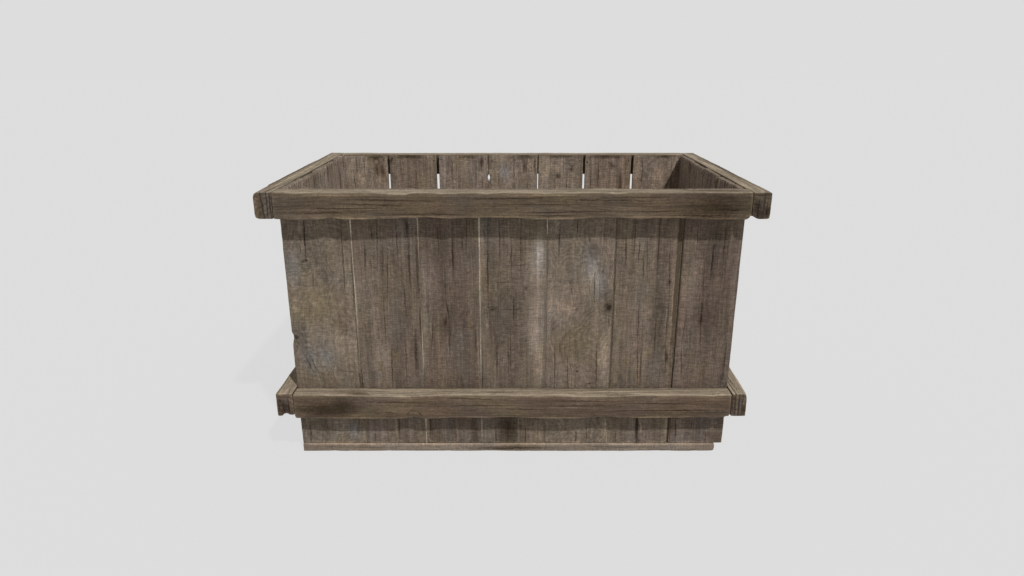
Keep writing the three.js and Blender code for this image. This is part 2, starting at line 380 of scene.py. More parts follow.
    return piece


# What each kind of mark does to the wood: how its colour joins the wood's, the colour, how strong
# it is, and where its edge begins and ends, as a share of its half width.
mark_kinds = {
    "bluish": ("COLOR", "#84878d", 0.42, 0.0, 1.6),
    "ochre": ("COLOR", "#877549", 0.32, 0.0, 1.6),
    "faded": ("DODGE", "#918f8b", 0.75, 0.0, 1.5),
    # This kind darkens the wood for real stains, and also as painted shade between parts.
    "stain_and_shade": ("MULTIPLY", "#9b9084", 0.95, 0.0, 1.6),
    "rust": ("MIX", "#3b2a1e", 0.60, 0.3, 1.5),
    "shadow": ("MIX", "#4c4134", 0.88, 0.9, 1.3),
    "faint": ("MULTIPLY", "#afa59a", 0.90, 0.3, 1.4),
    "line": ("MULTIPLY", "#8c8176", 0.78, 0.3, 1.4),
    "split": ("MIX", "#2a221b", 0.82, 0.4, 1.4),
    "check": ("MIX", "#332a21", 0.85, 0.4, 1.3),
    "pale": ("DODGE", "#b3aea5", 0.85, 0.3, 1.4),
}
# The patterns in the wood: how long a wave of each is, in metres, across the grain both ways and
# along it, then how detailed and how rough it is.
patterns = {
    "bands": ((0.013, 0.013, 0.30), 2.0, 0.5),
    "streaks": ((0.0032, 0.0032, 0.11), 3.0, 0.65),
    "fibres": ((0.0011, 0.0011, 0.016), 2.0, 0.6),
    "patches": ((0.022, 0.022, 0.045), 4.0, 0.6),
    "mottle": ((0.0060, 0.0060, 0.0085), 3.0, 0.7),
    "saw_marks": ((0.014, 0.014, 0.0015), 2.0, 0.6),
    "specks": ((0.0024, 0.0024, 0.0026), 2.0, 0.7),
    "hairlines": ((0.0019, 0.0019, 0.045), 1.0, 0.5),
}
# How much of each pattern stands up as ridges.
ridge_shares = {"streaks": 1.2, "saw_marks": 0.5, "specks": 0.7, "hairlines": 1.5, "mottle": 0.5}
# How fine other things are, in waves a metre: where the grain leans, where rings lie level with
# the surface, where other colours come in, how ragged edges are and how marks shake.
lean_fineness = (11.0, 11.0, 5.0)
loop_fineness, loop_lines = (24.0, 24.0, 15.0), 34.0
blot_fineness = (26.0, 26.0, 11.0)
ragged_fineness, raggedness = 300.0, 0.9
shake_fineness, shake = 110.0, 0.003
# Between which heights of their noise hairlines and blots of colour come in.
hairline_edge, blot_edge = (0.60, 0.78), (0.46, 0.70)
# Where a patch fades out, a knot stops pulling at the grain and its core ends, and where its ring
# lies and half its width, all as shares of the patch's or the knot's radii.
patch_edge, pull_edge, core_edge = (0.5, 1.9), (0.7, 3.6), (1.0, 1.7)
knot_ring, knot_ring_half = 1.45, 0.35
knot_colour = "#2b231b"
mark_depth = 0.004
smooth = {"interpolation_type": "SMOOTHSTEP"}


def weathered_softwood(name, node, along, tone, seed, weights, contrast=2.6, ring=0.0038, knots=(),
                       marks={}, patches=(), cool=0.2, olive=0.3, red=0.15, pale="#9c8f7c",
                       bleach="#8a7e6c", bleaching=0.9, inside=0.25):
    """Rough-sawn softwood that rain and sun have greyed: fine raised fibres, long streaks, ring
    lines round the knots, warm and cool patches, drying cracks and faint cross marks of the saw.
    weights says how strong each pattern is; loops are the closed ring lines that show where the
    saw ran level with the rings. Tables are in millimetres: a mark is (u, v, u, v, width) on a
    face, a knot (middle, radii, dark core, dark ring, pull on the grain), and a patch (middle,
    radii, how many stops lighter). inside is how much lighter the sheltered inner face is painted:
    partly wood that has weathered less, partly painted light standing in for light inside the crate."""
    low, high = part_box(node)
    chance = np.random.default_rng(seed)
    wood, tree = blank(name)
    place = add(tree, "TexCoord", out="Object")
    bent = add(tree, "VectorMath SUBTRACT", (place, (low + high) / 2.0))
    ragged = add(tree, "TexNoise", {"Vector": place, "Scale": ragged_fineness, "Detail": 2.0})
    around = []
    for spot, radii, core, ring_line, pull in knots:
        offset = add(tree, "VectorMath SUBTRACT", (place, [s / 1000.0 for s in spot]))
        reach = add(tree, "VectorMath MULTIPLY", (offset, [1000.0 / r for r in radii]))
        reach = add(tree, "VectorMath LENGTH", (reach,), "Value")
        reach = add(tree, "Math MULTIPLY_ADD", (ragged, raggedness, reach))
        around.append((reach, core, ring_line))
        grip = add(tree, "MapRange", (reach, *pull_edge, pull, 0.0), **smooth)
        sideways = [0.0 if axis == along else 1.0 for axis in range(3)]
        moved = add(tree, "VectorMath MULTIPLY", (offset, sideways))
        moved = add(tree, "VectorMath SCALE", {0: moved, "Scale": grip})
        bent = add(tree, "VectorMath SUBTRACT", (bent, moved))
    quarter = math.radians(90.0)
    turn = {0: (0.0, quarter, 0.0), 1: (quarter, 0.0, 0.0), 2: (0.0, 0.0, 0.0)}
    grain = add(tree, "Mapping", {"Vector": bent, "Rotation": turn[along]}, vector_type="POINT")

    def noise(fineness, spread, detail, roughness=0.5, out="Fac"):
        """Noise that follows the grain, moved a random way off."""
        moved = add(tree, "VectorMath MULTIPLY_ADD", (grain, fineness, chance.uniform(-spread, spread, 3)))
        return add(tree, "TexNoise", {"Vector": moved, "Scale": 1.0, "Detail": detail,
                                      "Roughness": roughness}, out)

    lean = noise(lean_fineness, 40, 3.0, out="Color")
    lean = add(tree, "VectorMath SUBTRACT", (lean, (0.5, 0.5, 0.5)))
    grain = add(tree, "VectorMath MULTIPLY_ADD", (lean, (weights["sway"], weights["sway"], 0.0), grain))

    pith = (chance.uniform(-0.02, 0.02), chance.choice((-1.0, 1.0)) * chance.uniform(0.03, 0.07), 0.0)
    from_pith = add(tree, "VectorMath SUBTRACT", (grain, pith))
    from_pith = add(tree, "VectorMath MULTIPLY", (from_pith, (1.0, 1.0, 0.0)))
    rings = add(tree, "VectorMath LENGTH", (from_pith,), "Value")
    rings = add(tree, "Math DIVIDE", (rings, ring))
    rings = add(tree, "Math PINGPONG", (rings, 1.0))
    rings = add(tree, "Math SUBTRACT", (rings, 0.5))
    end_grain = add(tree, "Attribute", out="Fac", attribute_name="end_grain")
    ring_weight = add(tree, "Math MULTIPLY_ADD", (end_grain, 0.12, weights["rings"]))
    total = add(tree, "Math MULTIPLY", (rings, ring_weight))
    if "loops" in weights:
        loops = add(tree, "Math MULTIPLY", (noise(loop_fineness, 50, 1.0), loop_lines))
        loops = add(tree, "Math PINGPONG", (loops, 1.0))
        loops = add(tree, "Math MULTIPLY_ADD", (loops, weights["loops"], -0.5 * weights["loops"]))
        total = add(tree, "Math ADD", (total, loops))
    heights = {}
    pitch = weights.get("pitch", 1.0)
    for pattern, (scale, detail, roughness) in patterns.items():
        fineness = [1.0 / (pitch * scale[0]), 1.0 / (pitch * scale[1]), 1.0 / scale[2]]
        height = noise(fineness, 90, detail, roughness)
        weight = weights[pattern]
        if pattern == "hairlines":
            height = lifted = add(tree, "MapRange", (height, *hairline_edge, 0.0, -weight), **smooth)
        else:
            lifted = add(tree, "Math MULTIPLY_ADD", (height, weight, -0.5 * weight))
        heights[pattern] = height
        total = add(tree, "Math ADD", (total, lifted))

    gain = add(tree, "Math MULTIPLY", (total, contrast))
    for spot, radii, stops in patches:
        local = add(tree, "Mapping", {"Vector": place, "Location": [s / 1000.0 for s in spot],
                                      "Scale": [r / 1000.0 for r in radii]}, vector_type="TEXTURE")
        reach = add(tree, "VectorMath LENGTH", (local,), "Value")
        reach = add(tree, "Math MULTIPLY_ADD", (heights["mottle"], 0.8, reach))
        lift = add(tree, "MapRange", (reach, *patch_edge, stops, 0.0), **smooth)
        gain = add(tree, "Math ADD", (gain, lift))
    gain = add(tree, "Math POWER", (2.0, gain))
    gain = add(tree, "Math MULTIPLY", (gain, add(tree, "Math MULTIPLY_ADD", (end_grain, -0.05, 1.0))))
    # The sheltered inner face is painted lighter: partly wood that has weathered less, partly painted light
    # standing in for light inside the crate.
    inner_lift = add(tree, "Attribute", out="Fac", attribute_name="sheltered")
    gain = add(tree, "Math MULTIPLY", (gain, add(tree, "Math MULTIPLY_ADD", (inner_lift, inside, 1.0))))

    colour = srgb(tone)
    for other, most in (("#6f6e6d", cool), ("#6a6047", olive), ("#694f45", red)):
        blot = add(tree, "MapRange", (noise(blot_fineness, 60, 4.0), *blot_edge, 0.0, most))
        colour = add(tree, "Mix", {0: blot, 6: colour, 7: srgb(other)}, 2, data_type="RGBA")
    upper_face = add(tree, "Attribute", out="Fac", attribute_name="upper_face")
    sun = add(tree, "MapRange", (heights["streaks"], 0.3, 0.7, 0.4 * bleaching, bleaching))
    sun = add(tree, "Math MULTIPLY", (sun, upper_face))
    colour = add(tree, "Mix", {0: sun, 6: colour, 7: srgb(bleach)}, 2, data_type="RGBA")
    colour = add(tree, "VectorMath SCALE", {0: colour, "Scale": gain})
    rubbed = add(tree, "Attribute", out="Fac", attribute_name="rubbed")
    bare = add(tree, "MapRange", (heights["mottle"], 0.35, 0.6, 0.4, 1.0))
    bare = add(tree, "Math MULTIPLY", (bare, rubbed), use_clamp=True)
    colour = add(tree, "Mix", {0: bare, 6: colour, 7: srgb(pale)}, 2, data_type="RGBA")

    shaky = add(tree, "TexNoise", {"Vector": place, "Scale": shake_fineness, "Detail": 2.0}, "Color")
    shaky = add(tree, "VectorMath SUBTRACT", (shaky, (0.5, 0.5, 0.5)))
    shaky = add(tree, "VectorMath MULTIPLY_ADD", (shaky, (shake, shake, shake), place))
    for kind, (blend, tint, strength, edge, rim) in mark_kinds.items():
        nearest = None
        for face, kinds in marks.items():
            for u1, v1, u2, v2, width in kinds.get(kind, ()):
                first, last, normal = Vector(), Vector(), Vector()
                u, v = spans(face)
                first[face[0]] = last[face[0]] = (low, high)[face[1]][face[0]]
                first[u], first[v], last[u], last[v] = u1 / 1000.0, v1 / 1000.0, u2 / 1000.0, v2 / 1000.0
                normal[face[0]] = 1.0
                run = last - first
                side = normal.cross(run).normalized()
                turned = Matrix((side, normal, run.normalized())).transposed().to_euler()
                half = (width / 2000.0, mark_depth, run.length / 1.9)
                local = add(tree, "Mapping", {"Vector": shaky, "Location": (first + last) / 2.0,
                                              "Rotation": turned, "Scale": half}, vector_type="TEXTURE")
                reach = add(tree, "VectorMath LENGTH", (local,), "Value")
                nearest = add(tree, "Math MINIMUM", (nearest, reach)) if nearest else reach
        if nearest:
            cover = add(tree, "Math MULTIPLY_ADD", (ragged, raggedness, nearest))
            begins, ends = edge + 0.5 * raggedness, rim + 0.5 * raggedness
            cover = add(tree, "MapRange", (cover, begins, ends, strength, 0.0), **smooth)
            colour = add(tree, "Mix", {0: cover, 6: colour, 7: srgb(tint)}, 2, data_type="RGBA",
                         blend_type=blend)
    for reach, core, ring_line in around:
        dark = add(tree, "MapRange", (reach, *core_edge, core, 0.0), **smooth)
        from_ring = add(tree, "Math COMPARE", (reach, knot_ring, knot_ring_half))
        dark = add(tree, "Math MULTIPLY_ADD", (from_ring, ring_line, dark))
        colour = add(tree, "Mix", {0: dark, 6: colour, 7: srgb(knot_colour)}, 2, data_type="RGBA")

    ridges = heights["fibres"]
    for pattern, share in ridge_shares.items():
        ridges = add(tree, "Math MULTIPLY_ADD", (heights[pattern], share, ridges))
    bump = add(tree, "Bump", {"Height": ridges, "Strength": 0.8, "Distance": 0.0006})
    rough = add(tree, "MapRange", (heights["streaks"], 0.3, 0.7, 0.95, 0.82))
    shell = add(tree, "BsdfPrincipled", {"Base Color": colour, "Roughness": rough, "IOR": 1.45,
                                         "Specular IOR Level": 0.15, "Normal": bump})
    add(tree, "OutputMaterial", {"Surface": shell})
    return wood


def lay(marks, face, kinds):
    """Adds marks to those that a face has already."""
    for kind, lines in kinds.items():
        marks.setdefault(face, {}).setdefault(kind, []).extend(lines)


# Which marks come by chance: the kind, how many on a face and how wide, in millimetres. Then how
# long they are, as shares of the piece, how much their widths vary, how far in millimetres they
# keep from the edges and slant, and how far rust runs from a nail head and how wide.
chance_marks = (("line", 3, 2.0), ("faint", 4, 2.2), ("pale", 2, 3.5), ("stain_and_shade", 1, 9.0))
mark_lengths, mark_widths = (0.08, 0.35), (0.7, 1.3)
edge_margin, slant = 4.0, 2.5
rust_run, rust_width = 7.0, 12.0


def drying_marks(seed, node, along, faces):
    """A few dark lines, pale streaks and stains at random places along the grain of some faces, and
    rust round the nail heads."""
    chance = np.random.default_rng(seed)
    low, high = [corner * 1000.0 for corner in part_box(node)]
    marks = {}
    for face in faces:
        across = 3 - along - face[0]
        for kind, count, width in chance_marks:
            for _ in range(count):
                length = chance.uniform(*mark_lengths) * (high[along] - low[along])
                begin = chance.uniform(low[along], high[along] - length)
                side = chance.uniform(low[across] + edge_margin, high[across] - edge_margin)
                aside = side + chance.uniform(-slant, slant)
                line = (begin, side, begin + length, aside)
                if along > across:
                    line = (side, begin, aside, begin + length)
                lay(marks, face, {kind: [(*line, width * chance.uniform(*mark_widths))]})
    for face, head in nails_in(node):
        u, v = [head[axis] * 1000.0 for axis in spans(face)]
        lay(marks, face, {"rust": [(u, v - rust_run, u, v + rust_run, rust_width)]})
    return marks


straight = {"bands": 0.42, "streaks": 0.52, "fibres": 0.50, "patches": 0.42, "mottle": 0.50,
            "saw_marks": 0.72, "specks": 0.58, "hairlines": 0.08, "rings": 0.08, "sway": 0.010}
wavy = {"bands": 0.24, "streaks": 0.34, "fibres": 0.46, "patches": 0.50, "mottle": 0.50,
        "saw_marks": 0.62, "specks": 0.55, "hairlines": 0.06, "rings": 0.08, "loops": 0.15, "sway": 0.03}
front, back, left, right, under, top = (1, 0), (1, 1), (0, 0), (0, 1), (2, 0), (2, 1)
outer_faces = {"front": front, "back": back, "left": left, "right": right}
inner_faces = {"front": back, "back": front, "left": right, "right": left}
wall_tones = {
    "front": ["#6a5f53", "#64584d", "#5c5046", "#62574c", "#6e6256", "#64584d", "#5a4e45"],
    "back": ["#6e6154", "#62554a", "#695c51", "#6e6256", "#6e6155", "#67594d", "#675a4e"],
    "left": ["#6a5f56", "#655a50", "#685d54", "#645950", "#6a5f56"],
    "right": ["#6b5f54", "#6a5d53", "#65584f", "#695d53", "#65584e"],
}
front_figure = [wavy, straight, straight, straight, wavy, straight, straight]
# Knots of the front boards as (x, z, half width, half height, dark core, dark ring, pull).
front_knots = {
    1: [(-317.9, 322.2, 6.0, 8.0, 0.15, 0.28, 0.9), (-276.8, 142.3, 6.0, 6.0, 0.10, 0.12, 0.9),
        (-343.0, 204.0, 3.5, 4.0, 0.75, 0.0, 0.9)],
    3: [(-57.2, 133.4, 2.0, 2.4, 0.1, 0.5, 0.6)],
    5: [(125.3, 345.5, 6.0, 6.5, 0.08, 0.15, 0.9), (151.4, 254.1, 3.6, 5.4, 0.92, 0.0, 0.9)],
    6: [(166.9, 120.9, 3.0, 3.0, 0.25, 0.2, 0.6)],
    7: [(340.0, 135.0, 3.0, 4.0, 0.15, 0.25, 0.6)],
}
# Broad lighter and darker patches of the front boards as (x, z, half width, half height, stops).
front_patches = {
    1: [(-308, 350, 24, 26, -0.35), (-340, 262, 18, 34, 0.25), (-342, 200, 16, 30, -0.35),
        (-268, 192, 34, 42, 0.32), (-285, 265, 40, 30, 0.10)],
    2: [(-222, 280, 20, 100, 0.18), (-165, 290, 20, 110, -0.22), (-205, 170, 24, 26, 0.30),
        (-170, 210, 22, 40, -0.15)],
    3: [(-97, 350, 22, 30, -0.40), (-132, 288, 14, 46, 0.30), (-98, 232, 24, 30, -0.35),
        (-120, 138, 26, 26, 0.18)],
    4: [(-22, 330, 16, 30, -0.20), (-16, 235, 24, 70, -0.60), (12, 340, 14, 30, 0.0),
        (40, 335, 16, 45, 0.90), (39, 245, 15, 60, 0.72), (40, 160, 16, 50, 0.62), (-2, 30, 24, 26, -0.30)],
    5: [(66, 258, 26, 24, 0.42), (147, 262, 12, 26, -0.45), (146, 180, 14, 50, 0.30),
        (100, 190, 28, 40, -0.22), (90, 350, 30, 24, -0.15), (120, 300, 16, 34, 0.22)],
    6: [(176, 280, 20, 100, 0.18), (232, 300, 12, 100, -0.20), (196, 170, 24, 26, 0.28),
        (231, 205, 16, 50, -0.20)],
    7: [(306, 350, 22, 30, -0.40), (272, 288, 12, 46, 0.30), (305, 232, 24, 30, -0.35),
        (284, 138, 26, 26, 0.18)],
}
# Marks of the front boards: cracks, dark grain lines, pale streaks, stains and painted shadow, as
# (x, z, x, z, width). The pale lines beside the seams high under the rim, from z 366 up, are painted
# light, as if the lit inside showed through the seams, and the pale lines along the foot at z 15.6
# are partly a painted highlight of the floor's lit edge.
front_marks = {
    1: {"split": [(-314, 396, -316.3, 333, 2.2)],
        "line": [(-324, 327, -318, 332.5, 2.2), (-319, 332.5, -312, 329.5, 2.8),
                 (-256.5, 363.4, -248, 363, 2.2), (-298.1, 307, -298.1, 309.8, 2.2),
                 (-334.3, 60, -335.7, 14, 2.2), (-246.8, 220, -247, 149, 2.4),
                 (-246.8, 147, -247, 112, 3.4), (-286, 145.2, -248, 144.6, 1.2)],
        "faint": [(-258.8, 390, -260.2, 268, 2.6), (-321, 372, -324, 338, 1.6), (-306, 318, -309, 286, 1.8),
                  (-331, 170, -318, 136, 2.0), (-326, 176, -311, 138, 1.8), (-246.8, 366, -246.8, 222, 2.6)],
        "bluish": [(-328, 192, -318, 142, 34), (-302, 190, -294, 150, 30), (-342, 350, -336, 290, 26),
                   (-266, 56, -260, 20, 24)],
        "ochre": [(-330, 256, -264, 262, 70), (-344, 246, -300, 240, 40)],
        "faded": [(-268, 46, -252, 24, 14)],
        "pale": [(-247.5, 42, -248, 15, 4.0), (-345, 196, -343, 189, 4.0), (-346, 15.6, -250, 15.6, 2.8)]},
    2: {"line": [(-204, 396, -207.2, 319, 2.0), (-191, 348, -194.6, 267, 2.0),
                 (-158.9, 362, -157.6, 284, 3.2), (-193.2, 186, -194.2, 114, 2.4),
                 (-227.8, 37, -229.1, 14, 2.0), (-187.3, 78, -188.0, 20, 3.2),
                 (-243.2, 147, -243.4, 112, 2.2)],
        "faint": [(-224.1, 362, -226.6, 312, 3.0), (-197.5, 360, -199.8, 306, 1.8),
                  (-201, 267, -200.4, 179, 1.6), (-176, 395, -175, 330, 2.0),
                  (-170, 200, -171, 120, 1.8), (-213, 386, -213, 360, 2.4),
                  (-145.8, 380, -145.6, 262, 4.6), (-145.2, 262, -145.2, 196, 2.6),
                  (-168, 300, -167, 230, 2.2)],
        "stain_and_shade": [(-159.7, 398, -159.5, 372, 6), (-153.8, 215, -155, 146, 5)],
        "ochre": [(-187, 184, -188, 156, 12), (-213, 160, -214, 146, 10)],
        "faded": [(-232, 44, -202, 24, 22)],
        "pale": [(-242.6, 316, -242.8, 220, 2.2), (-192.2, 84, -192.6, 22, 4.2),
                 (-192.5, 21, -183, 15.8, 3.6), (-242.8, 398, -242.9, 366, 2.2),
                 (-242, 15.6, -196, 15.6, 2.8)]},
    3: {"split": [(-91.8, 366, -91.5, 306, 2.6)],
        "line": [(-76.3, 368, -76.7, 347, 2.0), (-104.7, 334, -103.5, 267, 1.8),
                 (-103.5, 268, -98.6, 230, 2.6), (-59.3, 222, -58.1, 178, 2.0),
                 (-135.8, 76, -136.0, 24, 2.6)],
        "faint": [(-98.6, 231, -100.1, 172, 2.0), (-125.6, 234, -128.8, 178, 1.8),
                  (-113, 390, -112, 340, 1.8), (-69, 396, -70, 340, 1.6)],
        "stain_and_shade": [(-105.4, 236, -105.2, 222, 6)],
        "ochre": [(-66, 238, -66, 212, 8)],
        "faded": [(-135.3, 256, -135.3, 120, 10), (-127, 318, -116, 304, 6)],
        "pale": [(-56.0, 244, -53.4, 116, 3.0), (-140.6, 84, -140.4, 22, 4.0), (-140, 22, -129, 15.8, 3.6),
                 (-141.6, 182, -141.9, 146, 2.4), (-141.7, 398, -141.9, 372, 2.2),
                 (-128, 15.6, -92, 15.6, 2.8), (-92, 60, -91, 16, 4.2)]},
    4: {"line": [(-2, 366, -1.3, 305, 1.8), (1.8, 268, 1.9, 233, 2.2), (-6.8, 234, -5.4, 122, 1.6),
                 (-28.4, 296.1, 2.6, 295.6, 1.3), (-0.5, 323.6, 24.1, 324, 1.3),
                 (-19.8, 251.4, 23.5, 251.8, 1.3), (-39, 257, -35.5, 251.5, 2.4),
                 (-36, 251.2, -26.5, 250.8, 3.4), (-27, 251, -24, 256, 2.2),
                 (-35.4, 240.5, -35.4, 237.8, 2.0), (22.6, 318, 22.6, 315.4, 2.0),
                 (21.4, 289, 21.4, 283.5, 4.5), (-27.2, 43, -27.2, 12, 2.2), (22, 43, 22, 12, 2.2),
                 (-48.6, 148, -48.6, 112, 2.0)],
        "faint": [(-37.8, 362, -37.8, 266, 2.8), (-3.2, 226, -2, 130, 1.4), (-20, 392, -19, 330, 1.8),
                  (12, 380, 13, 300, 1.6), (-24, 200, -25, 124, 2.0), (30, 236, 50, 236.5, 1.4)],
        "stain_and_shade": [(-6, 70, -6, 8, 34)],
        "bluish": [(40, 368, 42, 310, 22)],
        "faded": [(-46, 368, -42, 294, 8), (-34, 262, -30, 262.5, 7), (-38, 58, -38, 14, 14),
                  (38, 58, 38, 14, 22), (42, 366, 42, 320, 14), (44, 200, 43, 118, 14)],
        "pale": [(-48.8, 366, -49, 262, 2.6), (-36, 245.5, -28, 245.5, 2.2), (-49, 398, -49, 366, 2.2),
                 (-48, 15.6, 52, 15.6, 2.6)]},
    5: {"line": [(117.6, 369, 117.6, 356, 2.4), (126.5, 314, 128.2, 266, 2.0), (67.7, 196, 68.8, 114, 2.2),
                 (133.6, 196, 136.5, 114, 2.4), (151.9, 243, 152.7, 222, 2.4), (118, 122.6, 128, 123.4, 2.6),
                 (106, 39, 106, 14, 2.2), (146, 258, 151, 262, 2.4), (53.9, 60, 54, 12, 2.0)],
        "faint": [(76, 196, 76, 173, 2.2), (123.5, 59, 123.5, 14, 2.0), (90, 300, 95, 262, 1.6),
                  (72, 392, 71, 330, 2.0), (98, 396, 99, 372, 2.0), (140, 396, 139, 350, 1.8),
                  (88, 176, 90, 120, 1.6)],
        "stain_and_shade": [(104.8, 147, 104.8, 143, 5), (150, 262, 152, 246, 13)],
        "ochre": [(149.3, 270, 148.3, 262, 10), (66, 200, 128, 186, 64)],
        "bluish": [(116, 356, 126, 296, 26), (134, 322, 138, 268, 24)],
        "faded": [(145, 216, 146, 118, 13), (60, 268, 100, 246, 20), (124, 330, 134, 286, 18)],
        "pale": [(154.2, 60, 153.8, 26, 3.2), (153, 24, 144, 15.8, 3.2), (56, 15.6, 140, 15.6, 2.6)]},
    6: {"line": [(172.9, 366, 174.2, 324, 2.8), (193.4, 364, 193.4, 324, 2.2), (200.7, 336, 203.1, 305, 2.2),
                 (199.3, 196, 203.7, 114, 2.0), (206.5, 190, 207.3, 114, 2.6), (172, 37, 172, 14, 2.2),
                 (158.7, 368, 158.9, 114, 1.8), (205.8, 84, 206.8, 10, 6.0), (207.5, 22, 213, 16, 4.0)],
        "faint": [(204.9, 366, 208.4, 305, 2.0), (198, 268, 199.3, 194, 1.8), (226.2, 246, 226.8, 173, 2.0),
                  (239.8, 358, 245, 267, 1.8), (245, 268, 244.1, 194, 1.8), (244.1, 195, 247.8, 140, 1.8),
                  (186, 396, 186, 330, 1.8), (222, 398, 224, 300, 2.0)],
        "stain_and_shade": [(243, 300, 243, 292, 6), (246.5, 178, 249, 160, 5)],
        "ochre": [(184.4, 170, 184.4, 152, 8), (215.6, 184, 215.6, 168, 8)],
        "faded": [(248.4, 398, 248.6, 165, 8.5), (166, 52, 178, 20, 12)],
        "pale": [(250.6, 392, 250.7, 175, 1.4), (212.5, 58, 213.5, 20, 3.6), (162, 15.6, 206, 15.6, 2.6),
                 (214, 15.8, 250, 15.8, 3.2), (255.2, 66, 255.2, 34, 3.4), (246, 17, 257, 16, 4.0)],
        "shadow": [(254.6, 446, 254.6, 161, 7.5), (206.2, 82, 207.0, 19, 4.4)]},
    7: {"split": [(306.9, 358, 306.3, 305, 2.8)],
        "line": [(294.6, 332, 296.4, 267, 1.8), (296.4, 268, 297.6, 231, 2.6), (341.1, 196, 341.4, 138, 2.0),
                 (269.7, 60, 273, 14, 2.4), (297, 60, 297, 38, 2.0), (322, 37, 322, 14, 2.0)],
        "faint": [(297.6, 232, 301.2, 172, 2.0), (273.9, 249, 269.5, 189, 2.0), (269.5, 190, 273.3, 138, 2.0),
                  (322, 380, 323, 330, 2.0), (280, 396, 281, 350, 1.6)],
        "stain_and_shade": [(297.6, 240, 297.6, 226, 7)],
        "ochre": [(334.2, 234, 334.2, 216, 8)],
        "shadow": [(260.2, 446, 260.2, 161, 3.0), (261.0, 66, 262.2, 20, 3.6)],
        "pale": [(262, 16, 338, 15.8, 3.6)],
        "faded": [(266.5, 372, 266.5, 118, 9), (345.5, 380, 343.5, 120, 6), (276, 318, 288, 306, 6)]},
}
front_shapes = {
    1: {"worn_back": [(left, front, 20, [(190, 0), (197, 1.2), (202, 2.4), (208, 2.2), (213, 0)])]},
    6: {"ledges": [(front, right, 5.6, 2.4, (163, 442))]},
}
# The inner faces of the back wall are stained dark along the top, have dark vertical lines, and
# weathered patches and knots.
back_marks = {
    1: {"stain_and_shade": [(-277, 420, -275, 396, 10), (-300, 436, -256, 438, 14), (-268, 426, -262, 390, 12)],
        "line": [(-253, 441, -253.5, 420, 2.5), (-318, 441, -318, 396, 1.8), (-302, 430, -302, 392, 1.8)],
        "faded": [(-330, 425, -328, 380, 18), (-312, 405, -311, 388, 8), (-282, 430, -280, 420, 9)]},
    2: {"stain_and_shade": [(-240, 438, -180, 437, 10), (-246, 436, -247, 420, 6)],
        "line": [(-228, 436, -228, 400, 1.6)], "faint": [(-196, 430, -197, 380, 2.2)]},
    3: {"line": [(-123, 441, -123, 380, 2.2), (-50, 404, -49, 385, 2.6), (-50, 441, -50, 418, 2.4)],
        "stain_and_shade": [(-110, 438, -70, 437, 10), (-62, 436, -64, 410, 10)],
        "faded": [(-141, 425, -141, 385, 11)]},
    4: {"line": [(3.5, 441, 3.5, 380, 2.2), (-45, 404, -44, 370, 2.6), (30, 436, 30, 400, 1.8)],
        "bluish": [(-20, 424, -16, 390, 22)], "faded": [(-32, 420, -30, 385, 12)],
        "stain_and_shade": [(10, 438, 48, 437, 12), (24, 430, 26, 408, 9), (46, 436, 46, 404, 5)]},
    5: {"stain_and_shade": [(62, 438, 140, 438, 8), (88, 400, 98, 396, 12), (121.8, 416, 121.8, 406, 9)],
        "line": [(104, 436, 104, 396, 1.8)], "faded": [(70, 425, 68, 380, 24), (90, 420, 92, 404, 10)]},
    6: {"stain_and_shade": [(152, 437, 236, 438, 9), (200, 428, 206, 412, 12)], "line": [(232, 438, 232, 392, 1.8)],
        "faint": [(176, 430, 176, 384, 2.4)]},
    7: {"line": [(266, 441, 266, 380, 2.4)], "faded": [(256, 425, 256, 380, 14), (300, 420, 296, 385, 26)],
        "stain_and_shade": [(280, 438, 340, 438, 8)]},
}
back_knots = {1: [(-277, 427, 5.5, 6.5, 0.10, 0.45, 0.8)], 5: [(121.8, 425, 6.0, 7.0, 0.10, 0.35, 0.8)]}
# A knot has fallen out of the seam between boards 3 and 4 of the back wall.
knot_hole = [(386, 0), (390, 1.8), (397, 2.0), (401, 0)]
back_shapes = {
    3: {"worn_back": [(right, front, 30, knot_hole)]},
    4: {"worn_back": [(left, front, 30, knot_hole)]},
}
wall_shapes = {"front": front_shapes, "back": back_shapes}
wall_marks = {"front": front_marks, "back": back_marks}
wall_knots = {"front": front_knots, "back": back_knots}
# Where the middles of the knots lie and half their depth, in y, and half the depth of the patches.
knot_depths = {"front": (-205, 30), "back": (196, 4)}
patch_depth = 8
wall_boards = {"front": 7, "back": 7, "left": 5, "right": 5}
